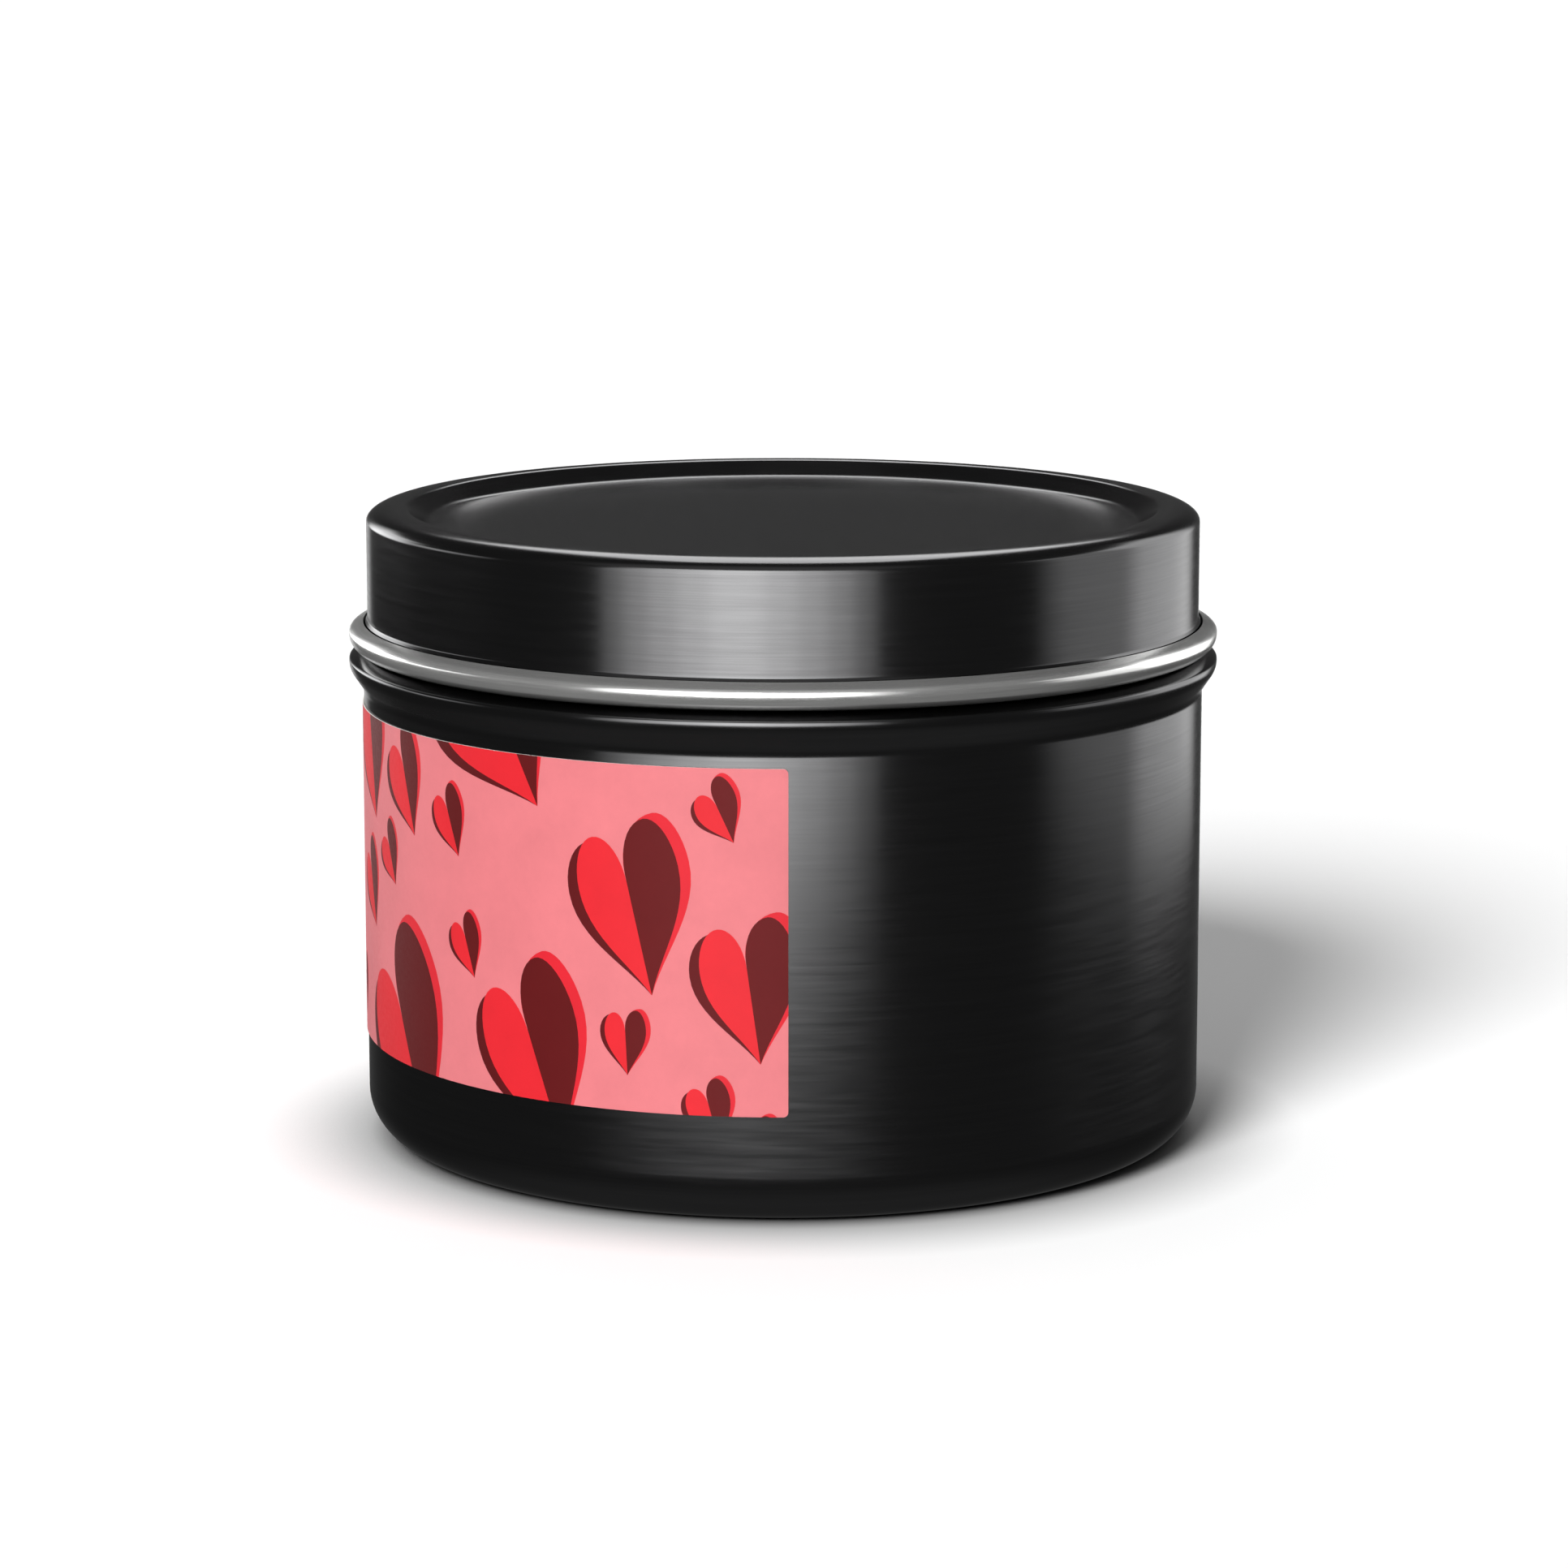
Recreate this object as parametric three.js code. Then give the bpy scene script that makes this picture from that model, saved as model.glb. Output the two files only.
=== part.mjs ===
// Slip-lid candle tin: a drawn steel tin with a lift-off lid, a wax fill with its wick, and two labels.
// Millimetres, +Z up. The origin is the centre of the base, on the plane that the tin stands on,
// and the middle of the front label faces -Y.

import * as THREE from 'three';

// Overall sizes
const TIN_HEIGHT = 59; // closed tin, from the standing plane to the lid's crest
const BODY_DIAMETER = 78; // outside of the straight body wall
const SHEET = 0.25; // tinplate thickness

// Tin body
const BASE_FILLET = 4.5;
const STANDING_RING_WIDTH = 2.2;
const BASE_STEP_WIDTH = 1.2;
const BASE_RECESS = 1; // height of the base panel above the standing ring
const BEAD_REACH = 1.33; // how far the bead stands out from the body wall
const BEAD_TOP_ROUND = 0.75;
const BEAD_LOWER_ROUND = 1.6;
const BEAD_TAPER_ANGLE = 35; // degrees of the lower round before the straight taper starts
const BEAD_HEIGHT = 3.57; // from the foot of the taper to the bead's top
const NECK_FILLET = 0.4;
const RIM_ROLL_RADIUS = 0.7;

// Lid
const LID_SET_BACK = 0.4; // the lid's wall is this much inside the body wall
const LID_DEPTH = 13; // from the crest to the underside of the curl
const LID_FIT = 0.25; // radial clearance between the neck and the lid
const LID_SEAT_GAP = 0.2; // between the curl and the bead
const RIM_GAP = 1.1; // from the lid's crest down to the top of the rim roll
const SHOULDER_WIDTH = 2.86;
const SHOULDER_DROP = 1.24;
const CREST_WIDTH = 0.84;
const RECESS_DEPTH = 1.4;
const RECESS_STEP_WIDTH = 2;
const FLARE_REACH = 0.12;
const FLARE_HEIGHT = 1.5;
const CURL_SLIT = 0.3; // between the curl's lip and the lid's wall
const CURL_REACH = 1.16; // inside half-width of the curl
const CURL_UPPER = 0.79; // inside height of the curl above its nose
const CURL_LOWER = 1.36; // inside height of the curl below its nose
const CURL_TURN = 0.3; // inside radius where the wall turns out into the curl

// Candle
const FILL_CLEARANCE = 0.05; // between the wax and what it is poured against
const WAX_BELOW_BEAD = 0.9;
const WICK_DIAMETER = 2.6;
const WICK_TRIM = 6.4; // wick standing above the wax
const TAB_DIAMETER = 20;
const TAB_SHEET = 0.3;
const TAB_NECK_HEIGHT = 4.5;
const STICKER_THICKNESS = 0.8;

// Labels
const LABEL_GAP = 0.03;
const LABEL_THICKNESS = 0.12;
const FRONT_LABEL_WIDTH = 101.6; // along the curved wall
const FRONT_LABEL_TOP_MARGIN = 1.3; // below the foot of the bead
const FRONT_LABEL_BOTTOM_MARGIN = 10.1; // above the standing plane
const BASE_LABEL_DIAMETER = 50;

// Facets of the round pieces. The tin, lid and wax share one count, so that their facets line up.
const TIN_FACETS = 48;
const TAB_FACETS = 32;
const WICK_FACETS = 16;

// Derived radii and heights
const BODY_R = BODY_DIAMETER / 2;
const BODY_INNER_R = BODY_R - SHEET;
const LID_R = BODY_R - LID_SET_BACK;
const NECK_R = LID_R - SHEET - LID_FIT;
const CURL_BOTTOM_Z = TIN_HEIGHT - LID_DEPTH;
const BEAD_TOP_Z = CURL_BOTTOM_Z - LID_SEAT_GAP;
const BEAD_FOOT_Z = BEAD_TOP_Z - BEAD_HEIGHT;
const WAX_TOP_Z = BEAD_FOOT_Z - WAX_BELOW_BEAD;
const FLOOR_Z = BASE_RECESS + SHEET;
const TAB_R = TAB_DIAMETER / 2;
const WICK_R = WICK_DIAMETER / 2;
const TAB_BORE_R = WICK_R + FILL_CLEARANCE;
const STICKER_Z = FLOOR_Z + FILL_CLEARANCE;
const TAB_Z = STICKER_Z + STICKER_THICKNESS + FILL_CLEARANCE;
const TAB_NECK_TOP_Z = TAB_Z + TAB_NECK_HEIGHT;

const radians = THREE.MathUtils.degToRad;
const point = (r, z) => new THREE.Vector2(r, z);

// Points of an elliptical arc in the (radius, height) plane, from one angle to another in degrees.
function arc(centreR, centreZ, halfWidth, halfHeight, from, to, steps) {
  const points = [];
  for (let i = 0; i <= steps; i += 1) {
    const angle = radians(from + ((to - from) * i) / steps);
    points.push(point(centreR + halfWidth * Math.cos(angle), centreZ + halfHeight * Math.sin(angle)));
  }
  return points;
}

// A closed section of sheet: the path is one face of the sheet, and the other lies `thickness`
// to the left of the direction of travel. A path that starts on the axis leaves it at a right angle.
function sheetSection(path, thickness) {
  const normals = path.slice(1).map((end, i) => {
    const along = end.clone().sub(path[i]).normalize();
    return point(-along.y, along.x);
  });
  const offset = path.map((corner, i) => {
    const before = normals[Math.max(i - 1, 0)];
    const after = normals[Math.min(i, normals.length - 1)];
    const mitre = before.clone().add(after).normalize();
    return corner.clone().addScaledVector(mitre, thickness / mitre.dot(after));
  });
  return [...path, ...offset.reverse()];
}

// Turns a section into a solid of revolution about Z. A section off the axis is closed on itself.
function revolve(section, facets) {
  const onAxis = section[0].x === 0;
  const profile = onAxis ? section : [...section, section[0].clone()];
  return new THREE.LatheGeometry(profile, facets).rotateX(Math.PI / 2);
}

function piece(name, geometry, color, roughness, metalness) {
  const mesh = new THREE.Mesh(geometry, new THREE.MeshStandardMaterial({ color, roughness, metalness }));
  mesh.name = name;
  return mesh;
}

// Drawn body: recessed base, fillet, straight wall, seating bead, neck and a rim rolled inwards.
function tinBody() {
  const standingOuterR = BODY_R - BASE_FILLET;
  const standingInnerR = standingOuterR - STANDING_RING_WIDTH;
  const beadCentreR = NECK_R + 2 * NECK_FILLET;
  const beadHalfWidth = BODY_R + BEAD_REACH - beadCentreR;
  const noseZ = BEAD_TOP_Z - BEAD_TOP_ROUND;
  const rollZ = TIN_HEIGHT - RIM_GAP - RIM_ROLL_RADIUS;
  const outside = [
    point(0, BASE_RECESS),
    point(standingInnerR - BASE_STEP_WIDTH, BASE_RECESS),
    point(standingInnerR, 0),
    ...arc(standingOuterR, BASE_FILLET, BASE_FILLET, BASE_FILLET, -90, 0, 6),
    point(BODY_R, BEAD_FOOT_Z),
    ...arc(beadCentreR, noseZ, beadHalfWidth, BEAD_LOWER_ROUND, -BEAD_TAPER_ANGLE, 0, 2),
    ...arc(beadCentreR, noseZ, beadHalfWidth, BEAD_TOP_ROUND, 30, 90, 3),
    ...arc(NECK_R + NECK_FILLET, BEAD_TOP_Z + NECK_FILLET, NECK_FILLET, NECK_FILLET, 270, 180, 2),
    ...arc(NECK_R - RIM_ROLL_RADIUS, rollZ, RIM_ROLL_RADIUS, RIM_ROLL_RADIUS, 0, 270, 7),
  ];
  return piece('tin_body', revolve(sheetSection(outside, SHEET), TIN_FACETS), 0x141414, 0.35, 0.8);
}

// Drawn lid: recessed panel, crest, rounded shoulder, wall, and a curl turned outwards and up,
// which shows the bare inner face of the sheet. The section is followed from the lip to the axis.
function lid() {
  const panelR = LID_R - SHOULDER_WIDTH - CREST_WIDTH - RECESS_STEP_WIDTH;
  const shoulderZ = TIN_HEIGHT - SHOULDER_DROP;
  const curlCentreR = LID_R + CURL_SLIT;
  const turnTopZ = CURL_BOTTOM_Z + SHEET + CURL_TURN;
  const noseZ = CURL_BOTTOM_Z + SHEET + CURL_LOWER;
  const lipZ = noseZ + CURL_UPPER;
  const outside = [
    ...arc(curlCentreR, noseZ, CURL_REACH, CURL_UPPER, 90, 0, 4),
    ...arc(curlCentreR, noseZ, CURL_REACH, CURL_LOWER, -22.5, -90, 3),
    ...arc(LID_R + CURL_TURN, turnTopZ, CURL_TURN, CURL_TURN, 225, 180, 1),
    point(LID_R + FLARE_REACH, lipZ),
    point(LID_R, lipZ + FLARE_HEIGHT),
    ...arc(LID_R - SHOULDER_WIDTH, shoulderZ, SHOULDER_WIDTH, SHOULDER_DROP, 0, 90, 6),
    point(panelR + RECESS_STEP_WIDTH, TIN_HEIGHT),
    point(panelR, TIN_HEIGHT - RECESS_DEPTH),
    point(0, TIN_HEIGHT - RECESS_DEPTH),
  ];
  const section = sheetSection(outside, SHEET);
  const half = outside.length;
  const fromAxis = [...section.slice(half), ...section.slice(0, half)];
  return piece('lid', revolve(fromAxis, TIN_FACETS), 0x161616, 0.35, 0.8);
}

// Poured wax: fills the tin to just under the bead, around the wick, its tab and its sticker.
function wax() {
  const outerR = BODY_INNER_R - FILL_CLEARANCE;
  const filletR = BASE_FILLET - SHEET - FILL_CLEARANCE;
  const filletCentreR = outerR - filletR;
  const standingInnerR = BODY_R - BASE_FILLET - STANDING_RING_WIDTH;
  const bottomZ = SHEET + FILL_CLEARANCE;
  const boreR = WICK_R + FILL_CLEARANCE;
  const neckClearR = TAB_BORE_R + TAB_SHEET + FILL_CLEARANCE;
  const tabClearR = TAB_R + FILL_CLEARANCE;
  const section = [
    point(tabClearR, FLOOR_Z + FILL_CLEARANCE),
    point(standingInnerR - BASE_STEP_WIDTH + SHEET, FLOOR_Z + FILL_CLEARANCE),
    point(standingInnerR + SHEET, bottomZ),
    ...arc(filletCentreR, bottomZ + filletR, filletR, filletR, -90, 0, 6),
    point(outerR, WAX_TOP_Z),
    point(boreR, WAX_TOP_Z),
    point(boreR, TAB_NECK_TOP_Z + FILL_CLEARANCE),
    point(neckClearR, TAB_NECK_TOP_Z + FILL_CLEARANCE),
    point(neckClearR, TAB_Z + TAB_SHEET + FILL_CLEARANCE),
    point(tabClearR, TAB_Z + TAB_SHEET + FILL_CLEARANCE),
  ];
  return piece('wax', revolve(section, TIN_FACETS), 0xf3ead8, 0.45, 0);
}

// Braided wick, from the foot of the tab's neck to its trimmed tip.
function wick() {
  const topZ = WAX_TOP_Z + WICK_TRIM;
  const section = [point(0, TAB_Z), point(WICK_R, TAB_Z), point(WICK_R, topZ), point(0, topZ)];
  return piece('wick', revolve(section, WICK_FACETS), 0xefe6d2, 0.9, 0);
}

// Pressed metal wick tab: a flat disc with a neck crimped round the wick.
function wickTab() {
  const section = [
    point(TAB_BORE_R, TAB_Z),
    point(TAB_R, TAB_Z),
    point(TAB_R, TAB_Z + TAB_SHEET),
    point(TAB_BORE_R + TAB_SHEET, TAB_Z + TAB_SHEET),
    point(TAB_BORE_R + TAB_SHEET, TAB_NECK_TOP_Z),
    point(TAB_BORE_R, TAB_NECK_TOP_Z),
  ];
  return piece('wick_tab', revolve(section, TAB_FACETS), 0xb9bcc0, 0.35, 0.9);
}

// Double-sided foam sticker that holds the tab to the floor of the tin.
function wickSticker() {
  const topZ = STICKER_Z + STICKER_THICKNESS;
  const section = [point(0, STICKER_Z), point(TAB_R, STICKER_Z), point(TAB_R, topZ), point(0, topZ)];
  return piece('wick_sticker', revolve(section, TAB_FACETS), 0xf2f2ee, 0.8, 0);
}

// Points on a facet ring of the given corner radius, from -halfAngle to +halfAngle about -Y.
// The ends lie on the chords, so the ring stays parallel to the tin's own facets.
function facetArc(cornerR, halfAngle) {
  const step = (2 * Math.PI) / TIN_FACETS;
  const angles = [-halfAngle];
  for (let i = Math.ceil(-halfAngle / step); i * step < halfAngle; i += 1) {
    angles.push(i * step);
  }
  angles.push(halfAngle);
  return angles.map((angle) => {
    const fromMiddle = Math.abs(angle) % step - step / 2;
    const r = (cornerR * Math.cos(step / 2)) / Math.cos(fromMiddle);
    return point(r * Math.sin(angle), -r * Math.cos(angle));
  });
}

// Front label: a thin band wrapped round part of the straight wall.
function frontLabel() {
  const innerR = BODY_R + LABEL_GAP;
  const halfAngle = FRONT_LABEL_WIDTH / 2 / BODY_R;
  const height = BEAD_FOOT_Z - FRONT_LABEL_TOP_MARGIN - FRONT_LABEL_BOTTOM_MARGIN;
  const outer = facetArc(innerR + LABEL_THICKNESS, halfAngle);
  const inner = facetArc(innerR, halfAngle).reverse();
  const outline = new THREE.Shape([...outer, ...inner]);
  const geometry = new THREE.ExtrudeGeometry(outline, { depth: height, bevelEnabled: false });
  const label = piece('front_label', geometry, 0xf29a9e, 0.45, 0);
  label.position.z = FRONT_LABEL_BOTTOM_MARGIN;
  return label;
}

// Base label: a plain disc in the middle of the recessed base.
function baseLabel() {
  const topZ = BASE_RECESS - LABEL_GAP;
  const bottomZ = topZ - LABEL_THICKNESS;
  const r = BASE_LABEL_DIAMETER / 2;
  const section = [point(0, bottomZ), point(r, bottomZ), point(r, topZ), point(0, topZ)];
  return piece('base_label', revolve(section, TIN_FACETS), 0xf4f2ec, 0.7, 0);
}

const candleTin = new THREE.Group();
candleTin.add(tinBody(), lid(), wax(), wick(), wickTab(), wickSticker(), frontLabel(), baseLabel());

export default candleTin;
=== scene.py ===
import math

import bmesh
import bpy
import numpy as np
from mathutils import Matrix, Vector
from mathutils.geometry import delaunay_2d_cdt


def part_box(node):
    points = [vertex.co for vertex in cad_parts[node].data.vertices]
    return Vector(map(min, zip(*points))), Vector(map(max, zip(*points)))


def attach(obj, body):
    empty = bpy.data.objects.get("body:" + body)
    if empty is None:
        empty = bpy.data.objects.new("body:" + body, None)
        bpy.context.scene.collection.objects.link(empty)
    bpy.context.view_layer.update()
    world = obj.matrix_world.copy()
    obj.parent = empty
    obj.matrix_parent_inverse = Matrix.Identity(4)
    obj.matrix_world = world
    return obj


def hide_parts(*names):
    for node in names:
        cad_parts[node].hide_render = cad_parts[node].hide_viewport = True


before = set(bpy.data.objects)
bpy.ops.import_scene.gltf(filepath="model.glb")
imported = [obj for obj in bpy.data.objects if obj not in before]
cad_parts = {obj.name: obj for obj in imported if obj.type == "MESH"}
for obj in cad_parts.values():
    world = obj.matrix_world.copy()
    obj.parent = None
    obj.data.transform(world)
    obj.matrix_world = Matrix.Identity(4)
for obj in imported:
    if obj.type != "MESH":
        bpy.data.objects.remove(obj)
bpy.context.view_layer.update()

# Lengths are in millimetres, and MM turns them into Blender's metres. The overall sizes and heights
# come from the frame. A REACH, FALL or BEND is how far a curve goes out, down or along from its corner.
MM = 0.001


def box_mm(node):
    """Lowest and highest corner of a CAD node, in millimetres."""
    low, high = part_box(node)
    return low / MM, high / MM


TIN_HIGH = box_mm("tin_body")[1]
LID_LOW, LID_HIGH = box_mm("lid")
WAX_LOW, WAX_HIGH = box_mm("wax")
WICK_LOW, WICK_HIGH = box_mm("wick")
TAB_LOW, TAB_HIGH = box_mm("wick_tab")
STICKER_HIGH = box_mm("wick_sticker")[1]
FRONT_LABEL_LOW, FRONT_LABEL_HIGH = box_mm("front_label")
BASE_LABEL_HIGH = box_mm("base_label")[1]

# The sheet and its coat: the black lacquer is on the sheet's outside, and bare tinplate inside
SHEET = 0.25
COAT = 0.08
SKIN_GAP = 0.004

# Tin body
BEAD_REACH = 1.33
BODY_R = TIN_HIGH.x - BEAD_REACH
BASE_FILLET = 4.5
STANDING_RING_WIDTH = 2.2
BASE_STEP_WIDTH = 1.2
BASE_RECESS = 1.0
BASE_PANEL_BEND = 0.6
STANDING_RING_BEND = 0.5
BEAD_FOOT_BEND = 0.5
BEAD_NOSE_BEND = 0.3
BEAD_TOP_BEND = 0.25
BEAD_TOP_FALL = 0.62
BEAD_LOWER_ROUND = 1.6
BEAD_TAPER_ANGLE = 35
BEAD_HEIGHT = 3.42
NECK_FILLET = 0.4
RIM_ROLL_RADIUS = 0.7

# Lid
LID_R = BODY_R - 0.4
LID_FIT = 0.25
LID_SEAT_GAP = 0.2
SHOULDER_WIDTH = 2.86
SHOULDER_DROP = 1.24
CREST_WIDTH = 0.84
RECESS_DEPTH = 1.55
RECESS_STEP_WIDTH = 2.0
CREST_BEND = 0.3
PANEL_BEND = 0.5
DISH_WIDTH = 7.0
DISH_RISE = 0.1
DISH_STEPS = 10
FLARE_REACH = 0.2
FLARE_HEIGHT = 0.25
FLARE_BEND = 0.1
CURL_SLIT = 0.3
CURL_REACH = 1.16
CURL_HEIGHT = 2.0
CURL_TURN = 0.3
CURL_NOSE_FALL = 0.55
CURL_NOSE_STRAIGHT = 0.3
CURL_NOSE_BEND = 0.75

NECK_R = LID_R - SHEET - LID_FIT
CURL_BOTTOM_Z = LID_LOW.z
BEAD_TOP_Z = CURL_BOTTOM_Z - LID_SEAT_GAP
BEAD_FOOT_Z = BEAD_TOP_Z - BEAD_HEIGHT
STANDING_OUTER_R = BODY_R - BASE_FILLET
STANDING_INNER_R = STANDING_OUTER_R - STANDING_RING_WIDTH

# Labels
LABEL_WIDTH = 101.6
LABEL_CORNER = 0.45
LABEL_THICKNESS = 0.12
LABEL_GAP = 0.03
LABEL_INNER_R = BODY_R + LABEL_GAP
LABEL_COLUMNS = 96

# Wax, wick, tab and sticker
INNER_GAP = 0.05
WALL_MENISCUS_HEIGHT = 0.55
WALL_MENISCUS_WIDTH = 0.9
WICK_MENISCUS_HEIGHT = 0.35
WICK_MENISCUS_WIDTH = 0.8
WAX_TOP_STEPS = 40
RIPPLE_HEIGHT = 0.05
RIPPLE_INNER_R = 3
RIPPLE_MARGIN = 1
YARN_SHARE = 0.44
PLAIT_PITCH = 5.0
PLAIT_FLATNESS = 0.45
PLAIT_STEPS = 24
YARN_SIDES = 12
BORE_R = 1.35
TAB_ROOM = 0.35
TAB_SHEET = 0.3
TAB_EDGE_WIDTH = 0.12
TAB_EDGE_HEIGHT = 0.1
TAB_NECK_BEND = 0.5
CRIMP_DEPTH = 0.18
CRIMP_HEIGHT = 0.9
CRIMP_ABOVE_MIDDLE = 0.8
STICKER_BEND = 0.2
BASE_LABEL_BEND = 0.03

# Meshes
ROUND_SEGMENTS = 288
SMALL_SEGMENTS = 96
ARC_STEP = 6.0  # degrees
WELD = 0.0005
ON_AXIS = 1e-9
MERGED = 1e-5
SAME_POINT = 1e-6


# ---------------------------------------------------------------- sections

def arc(centre_r, centre_z, half_width, half_height, start, end):
    """Points of an elliptical arc, from one angle to another in degrees."""
    steps = max(3, round(abs(end - start) / ARC_STEP))
    angles = [math.radians(start + (end - start) * i / steps) for i in range(steps + 1)]
    return [(centre_r + half_width * math.cos(a), centre_z + half_height * math.sin(a)) for a in angles]


def toward(start, end, distance):
    """The point that distance along the line from start to end."""
    length = math.dist(start, end)
    share = min(0.5, distance / length)
    return (start[0] + (end[0] - start[0]) * share, start[1] + (end[1] - start[1]) * share)


def rounded(before, corner, after, reach, steps=8):
    """A corner turned into a smooth bend that starts and ends reach away from it."""
    start = toward(corner, before, reach)
    end = toward(corner, after, reach)
    points = []
    for i in range(steps + 1):
        t = i / steps
        weights = ((1 - t) ** 2, 2 * t * (1 - t), t ** 2)
        points.append(tuple(sum(w * p[k] for w, p in zip(weights, (start, corner, end))) for k in (0, 1)))
    return points


def supported(path, longest=0.5, support=0.08):
    """The path with extra points close to both ends of its long runs, so that they shade flat."""
    points = [path[0]]
    for start, end in zip(path, path[1:]):
        length = math.dist(start, end)
        if length < SAME_POINT:
            continue
        if length > longest:
            points += [toward(start, end, support), toward(end, start, support)]
        points.append(end)
    return points


def offset(path, distance):
    """The path moved to the left of its direction of travel, with mitred corners."""
    pts = np.array(path)
    along = np.diff(pts, axis=0)
    along /= np.linalg.norm(along, axis=1)[:, None]
    normals = np.stack([-along[:, 1], along[:, 0]], axis=1)
    before = np.vstack([normals[:1], normals])
    after = np.vstack([normals, normals[-1:]])
    mitre = before + after
    mitre /= np.linalg.norm(mitre, axis=1)[:, None]
    moved = pts + mitre * (distance / np.sum(mitre * after, axis=1))[:, None]
    return [tuple(p) for p in moved]


def skin(path, near, far):
    """Closed section of the layer of sheet that lies from near to far left of the path."""
    return offset(path, near) + offset(path, far)[::-1]


# ---------------------------------------------------------------- meshes

def new_object(name, vertices, faces, *materials):
    """A mesh object from vertices in millimetres."""
    mesh = bpy.data.meshes.new(name)
    mesh.from_pydata([(x * MM, y * MM, z * MM) for x, y, z in vertices], [], faces)
    mesh.update()
    obj = bpy.data.objects.new(name, mesh)
    bpy.context.scene.collection.objects.link(obj)
    for material in materials:
        mesh.materials.append(material)
    return obj


def smooth(obj, crease=35):
    """Outward faces, shaded smooth except across creases of more than that many degrees."""
    bm = bmesh.new()
    bm.from_mesh(obj.data)
    bmesh.ops.remove_doubles(bm, verts=bm.verts, dist=WELD * MM)
    bmesh.ops.recalc_face_normals(bm, faces=bm.faces)
    bm.to_mesh(obj.data)
    bm.free()
    obj.data.shade_smooth()
    obj.data.set_sharp_from_angle(angle=math.radians(crease))
    return obj


def lathe(name, section, material, segments=ROUND_SEGMENTS, shape=None):
    """A closed section of (radius, height) points turned about Z. shape may move each point of it."""
    vertices = []
    for r, z in section:
        for j in range(segments):
            angle = 2 * math.pi * j / segments
            radius, height = shape(r, z, angle) if shape else (r, z)
            vertices.append((radius * math.sin(angle), -radius * math.cos(angle), height))
    faces = []
    count = len(section)
    for i in range(count):
        k = (i + 1) % count
        if section[i][0] < ON_AXIS and section[k][0] < ON_AXIS:
            continue
        for j in range(segments):
            m = (j + 1) % segments
            faces.append((i * segments + j, i * segments + m, k * segments + m, k * segments + j))
    return smooth(new_object(name, vertices, faces, material))


def tube(points, radius, sides):
    """Vertices and faces of a closed tube that follows the points."""
    pts = np.array(points)
    along = np.gradient(pts, axis=0)
    along /= np.linalg.norm(along, axis=1)[:, None]
    side = np.cross(along, (0.0, 1.0, 0.0))
    side /= np.linalg.norm(side, axis=1)[:, None]
    up = np.cross(side, along)
    vertices = []
    for p, s, u in zip(pts, side, up):
        for j in range(sides):
            angle = 2 * math.pi * j / sides
            vertices.append(tuple(p + radius * (math.cos(angle) * s + math.sin(angle) * u)))
    faces = []
    for i in range(len(pts) - 1):
        for j in range(sides):
            m = (j + 1) % sides
            faces.append((i * sides + j, i * sides + m, (i + 1) * sides + m, (i + 1) * sides + j))
    faces.append(tuple(range(sides)))
    last = (len(pts) - 1) * sides
    faces.append(tuple(range(last, last + sides)))
    return vertices, faces


# ---------------------------------------------------------------- materials

NOISE_LOW = 0.3
NOISE_HIGH = 0.7


def linear(*levels):
    """Linear colour from sRGB display levels of 11 to 255."""
    return tuple(((v / 255 + 0.055) / 1.055) ** 2.4 for v in levels)


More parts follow.
